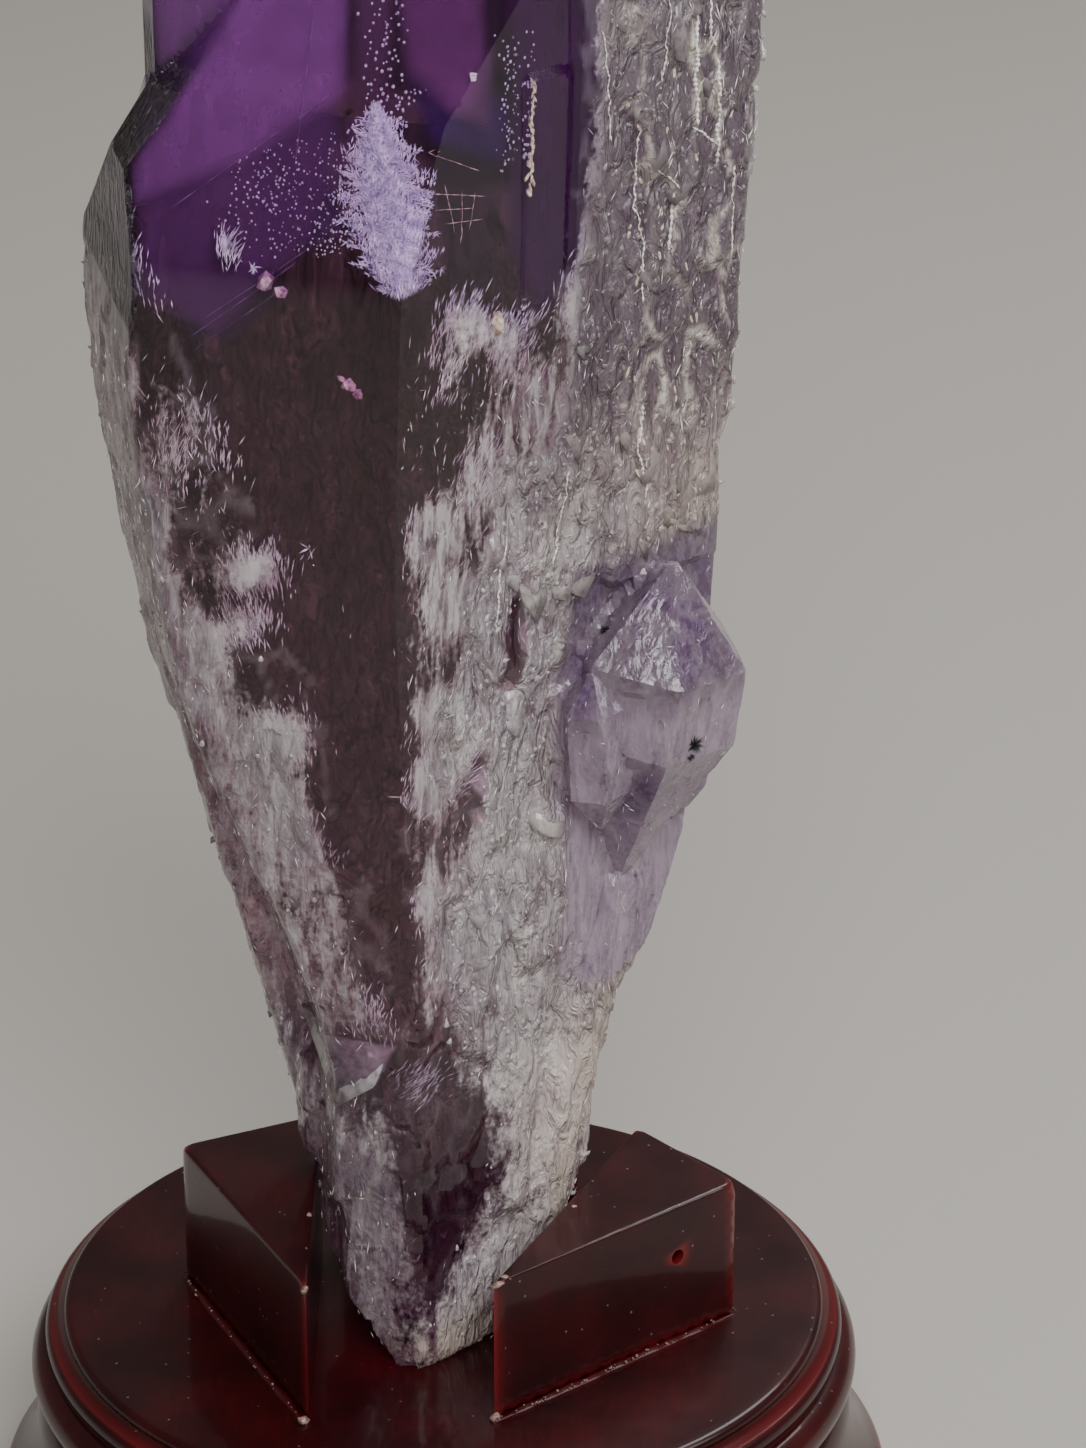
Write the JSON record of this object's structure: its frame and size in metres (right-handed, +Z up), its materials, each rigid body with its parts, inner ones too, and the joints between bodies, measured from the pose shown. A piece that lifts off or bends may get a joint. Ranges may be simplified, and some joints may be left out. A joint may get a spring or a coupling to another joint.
{
  "type": "amethyst point on a turned wooden stand",
  "caption": "Tall natural amethyst point with a milky tapered root, standing in a round red lacquered stand between wedge blocks.",
  "frame": {"origin": "centre of the stand's underside, on the surface it stands on", "axes": "+Z up along the crystal, -Y towards the clear front face, +X to the viewer's right"},
  "size_m": [0.175, 0.175, 0.3532],
  "materials": {
    "amethyst": "natural quartz: clear purple point, milky and rough root and crust",
    "lacquered_wood": "turned hardwood under thick glossy dark red lacquer"
  },
  "bodies": {
    "root": {"amethyst_crystal": "amethyst", "turned_base": "lacquered_wood", "left_block": "lacquered_wood", "right_block": "lacquered_wood", "rear_block": "lacquered_wood"}
  },
  "joints": []
}
